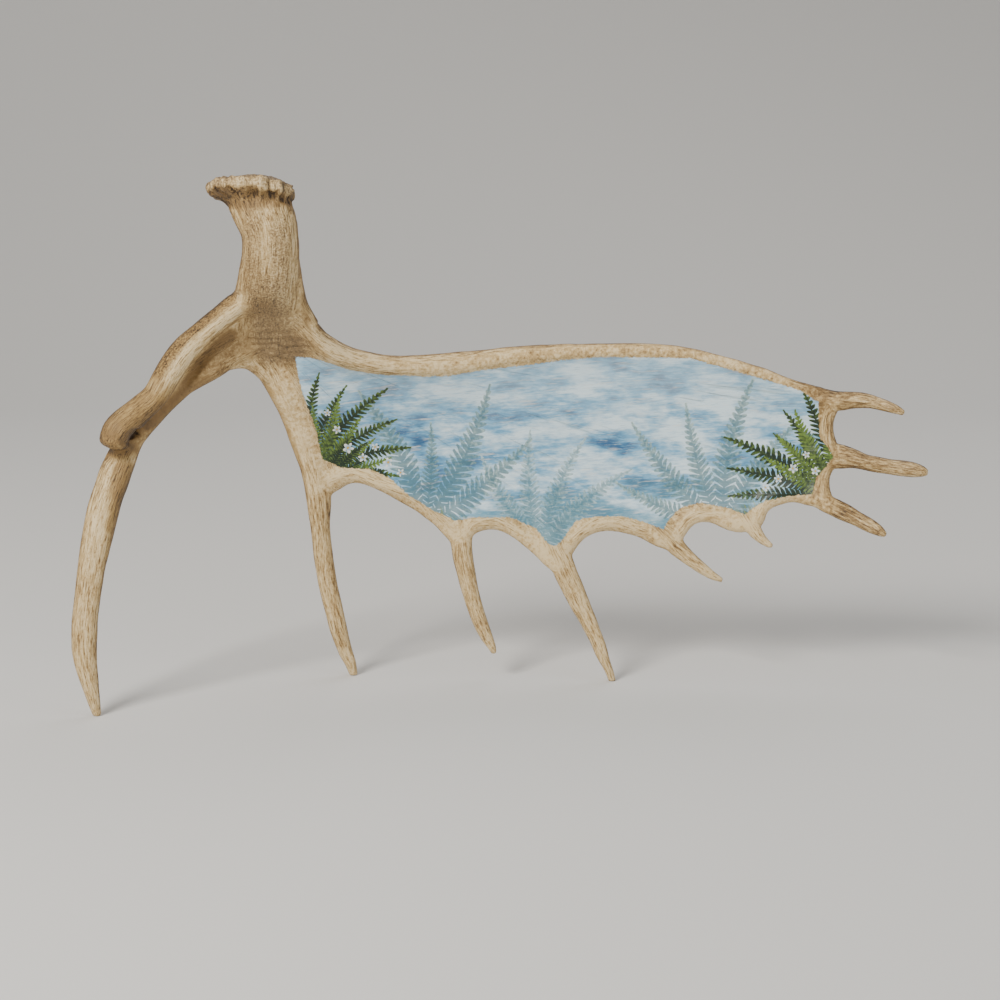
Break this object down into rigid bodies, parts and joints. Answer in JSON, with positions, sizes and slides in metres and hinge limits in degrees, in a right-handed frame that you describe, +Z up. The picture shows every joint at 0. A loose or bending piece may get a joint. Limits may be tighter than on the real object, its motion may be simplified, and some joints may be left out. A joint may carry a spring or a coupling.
{
  "type": "moose antler",
  "caption": "Shed moose antler with a burred beam, a forked brow branch and a cupped, painted palm, standing free on the points of three tines.",
  "frame": {"origin": "on the table, under the middle of the antler's box", "axes": "+X along the palm, from the brow tine to the palm's end; +Y from the cupped painted front to the back; +Z up from the table"},
  "size_m": [0.9294, 0.2187, 0.5741],
  "materials": {
    "antler": "hard dry antler bone, tan to ivory, with fine lengthwise brown grain, pitted and pearled at the burr and worn smooth on the points",
    "painted_antler": "antler bone whose cupped front is painted in blue, white and green under a soft satin varnish, with bare antler left round it as a rim"
  },
  "bodies": {
    "root": {"beam": "antler", "brow_branch": "antler", "brow_tine": "antler", "palm": "painted_antler", "palm_tine_1": "antler", "palm_tine_2": "antler", "palm_tine_3": "antler", "palm_tine_4": "antler", "palm_tine_5": "antler", "palm_tine_6": "antler", "palm_tine_7": "antler", "palm_tine_8": "antler"}
  },
  "joints": []
}
